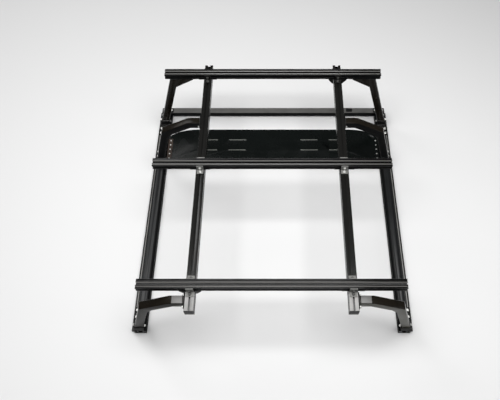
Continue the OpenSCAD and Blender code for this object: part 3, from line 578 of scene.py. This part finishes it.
angle_paint = powder_coat("angle_paint", (0.10, 0.10, 0.095), (0.20, 0.20, 0.19), 0.45, wear=6.0, dust=0.2)
ridge_highlight = black_anodise("ridge_highlight", "x", (0.015, 0.015, 0.014), (0.20, 0.195, 0.185), 0.26)
for bar in ("front", "mid", "rear"):
    extrusion = dressed("crossbar_" + bar, "crossbar_" + bar + "_extrusion", bar_skin, edge=0)
    reach = [corner.co for corner in extrusion.data.vertices]
    middle = (min(c.y for c in reach) + max(c.y for c in reach)) / 2
    ridged(extrusion, middle, max(c.z for c in reach))
    # The rear flanks of the ridges are painted light: a painted highlight.
    recoated(extrusion, ridge_highlight, lambda c, n: c.z > LIPS_ABOVE and n.y < -0.3
             and any(near < c.y - middle < far for near, far in REAR_FLANKS))
    recoated(extrusion, shaded_paint, lambda c, n: n.y < -0.9 and c.y < middle + REAR_WALL)
    edges_broken(extrusion, 0.0005, 2, 20)
    dressed("saddles_" + bar, "saddle_pair_" + bar, plate_paint, edge=0.0006)
    bracket_paint = plate_paint if bar == "front" else angle_paint
    dressed("angles_" + bar, "angle_brackets_" + bar, bracket_paint, edge=0.0006)

# ---------------------------------------------------------------------------
# Fasteners: zinc plated steel. The nuts are turned with a dished flange and a
# chamfered hexagon; the bolts carry rolled threads on their shanks. Those of
# the front and rear crossbars are black.
# ---------------------------------------------------------------------------
THREAD_PITCH = 0.00125
SHANK_RADIUS = 0.0045
FLANGE_FROM = 0.0085


def plated(name, colour, lighter, metallic):
    """Dulled zinc with rolled threads where a bolt's shank shows."""
    zinc = powder_coat(name, colour, lighter, 0.36, gloss=0.5, wear=0.0, dust=0.03)
    tree = zinc.node_tree
    tree.nodes["Principled BSDF"].inputs["Metallic"].default_value = metallic
    along = tree.nodes.new("ShaderNodeAttribute")
    along.attribute_name = "along"
    shank = tree.nodes.new("ShaderNodeAttribute")
    shank.attribute_name = "shank"
    wave = maths(tree, "SINE", maths(tree, "MULTIPLY", along.outputs["Fac"], 2 * math.pi / THREAD_PITCH))
    rolled = maths(tree, "MULTIPLY", wave, shank.outputs["Fac"])
    tree.links.new(bumped(tree, rolled, 0.8, 0.0004), tree.nodes["Principled BSDF"].inputs["Normal"])
    return zinc


def loose_parts(mesh):
    """The loose parts of a merged mesh, as lists of vertex numbers."""
    leader = list(range(len(mesh.vertices)))

    def first(number):
        while leader[number] != number:
            leader[number] = leader[leader[number]]
            number = leader[number]
        return number

    for edge in mesh.edges:
        leader[first(edge.vertices[0])] = first(edge.vertices[1])
    parts = {}
    for number in range(len(leader)):
        parts.setdefault(first(number), []).append(number)
    return list(parts.values())


def axis_of(points, longest):
    """Middle and axis of a turned part: the direction of its largest or smallest spread."""
    cloud = np.array(points)
    middle = cloud.mean(axis=0)
    directions = np.linalg.eigh(np.cov((cloud - middle).T))[1]
    return Vector(middle), Vector(directions[:, 2 if longest else 0])


def turned(name, rings, count=24):
    """A ring-shaped solid from rings (radius, height, sides); a six-sided ring's radius is to its flats."""
    bpy.ops.object.select_all(action="DESELECT")
    bpy.ops.mesh.primitive_circle_add(vertices=count, radius=1)
    piece = bpy.context.object
    piece.name = name
    bpy.ops.object.mode_set(mode="EDIT")
    bpy.ops.mesh.select_mode(type="VERT")
    bpy.ops.mesh.select_all(action="SELECT")
    for number, (radius, height, sides) in enumerate(rings + rings[:1]):
        if number:
            bpy.ops.mesh.extrude_region_move()
        work = bmesh.from_edit_mesh(piece.data)
        for point in work.verts:
            if not point.select:
                continue
            angle = math.atan2(point.co.y, point.co.x)
            out = radius
            if sides == 6:
                out = radius / math.cos(angle % (math.pi / 3) - math.pi / 6)
            drop = 0.577 * (out - radius) * (height > 0.007)
            point.co = (out * math.cos(angle), out * math.sin(angle), height - drop)
        bmesh.update_edit_mesh(piece.data)
    bpy.ops.mesh.select_all(action="SELECT")
    bpy.ops.mesh.remove_doubles(threshold=0.000001)
    bpy.ops.mesh.normals_make_consistent(inside=False)
    bpy.ops.object.mode_set(mode="OBJECT")
    bpy.ops.object.shade_smooth_by_angle(angle=math.radians(35))
    return piece


NUT_RINGS = [(0.00410, 0.0, 0), (0.00880, 0.0, 0), (0.00900, 0.0004, 0), (0.00890, 0.0009, 0),
             (0.00780, 0.0015, 0), (0.00655, 0.0020, 6), (0.00655, 0.0070, 6), (0.00648, 0.00745, 6),
             (0.00600, 0.0075, 0), (0.00460, 0.0075, 0), (0.00410, 0.0070, 0)]
nut = turned("nut", NUT_RINGS)


def nuts_on(node, finish):
    """One turned nut at every loose part of a nut node, all in one piece that stands for the node."""
    stand_in = dressed(node, node + "_set", finish, edge=0)
    old = stand_in.data
    made = bmesh.new()
    for part in loose_parts(old):
        points = [old.vertices[number].co for number in part]
        middle, axis = axis_of(points, longest=False)
        heights = [(point - middle).dot(axis) for point in points]
        wide = [h for h, point in zip(heights, points) if ((point - middle) - h * axis).length > FLANGE_FROM]
        if sum(wide) > 0:
            axis.negate()
            heights = [-h for h in heights]
        turn = axis.to_track_quat("Z", "Y").to_matrix().to_4x4()
        place = Matrix.Translation(middle + axis * min(heights)) @ turn
        copy = nut.data.copy()
        copy.transform(place)
        made.from_mesh(copy)
        bpy.data.meshes.remove(copy)
    made.to_mesh(old)
    made.free()


def threaded(node, finish):
    """A bolt node's worked copy, with each shank's distance along its axis kept for the thread."""
    piece = dressed(node, node + "_set", finish, edge=0)
    mesh = piece.data
    along = mesh.attributes.new("along", "FLOAT", "POINT")
    shank = mesh.attributes.new("shank", "FLOAT", "POINT")
    for part in loose_parts(mesh):
        points = [mesh.vertices[number].co for number in part]
        middle, axis = axis_of(points, longest=True)
        for number, point in zip(part, points):
            height = (point - middle).dot(axis)
            along.data[number].value = height
            shank.data[number].value = float(((point - middle) - height * axis).length < SHANK_RADIUS)
    edges_broken(piece, 0.0004, 2, 40)


zinc = plated("zinc", (0.50, 0.50, 0.48), (0.75, 0.75, 0.73), 0.8)
black_zinc = plated("black_zinc", (0.02, 0.02, 0.02), (0.07, 0.07, 0.065), 0.3)
for node in ("foot_nuts", "cross_nuts", "arm_nuts", "bar_nuts_mid"):
    nuts_on(node, zinc)
for node in ("header_bolts", "foot_bolts", "cross_bolts", "arm_bolts", "bar_bolts_mid"):
    threaded(node, zinc)
for bar in ("front", "rear"):
    nuts_on("bar_nuts_" + bar, black_zinc)
    threaded("bar_bolts_" + bar, black_zinc)
dressed("deck_screws", "deck_screws_set", zinc, edge=0.0003)
bpy.data.objects.remove(nut)
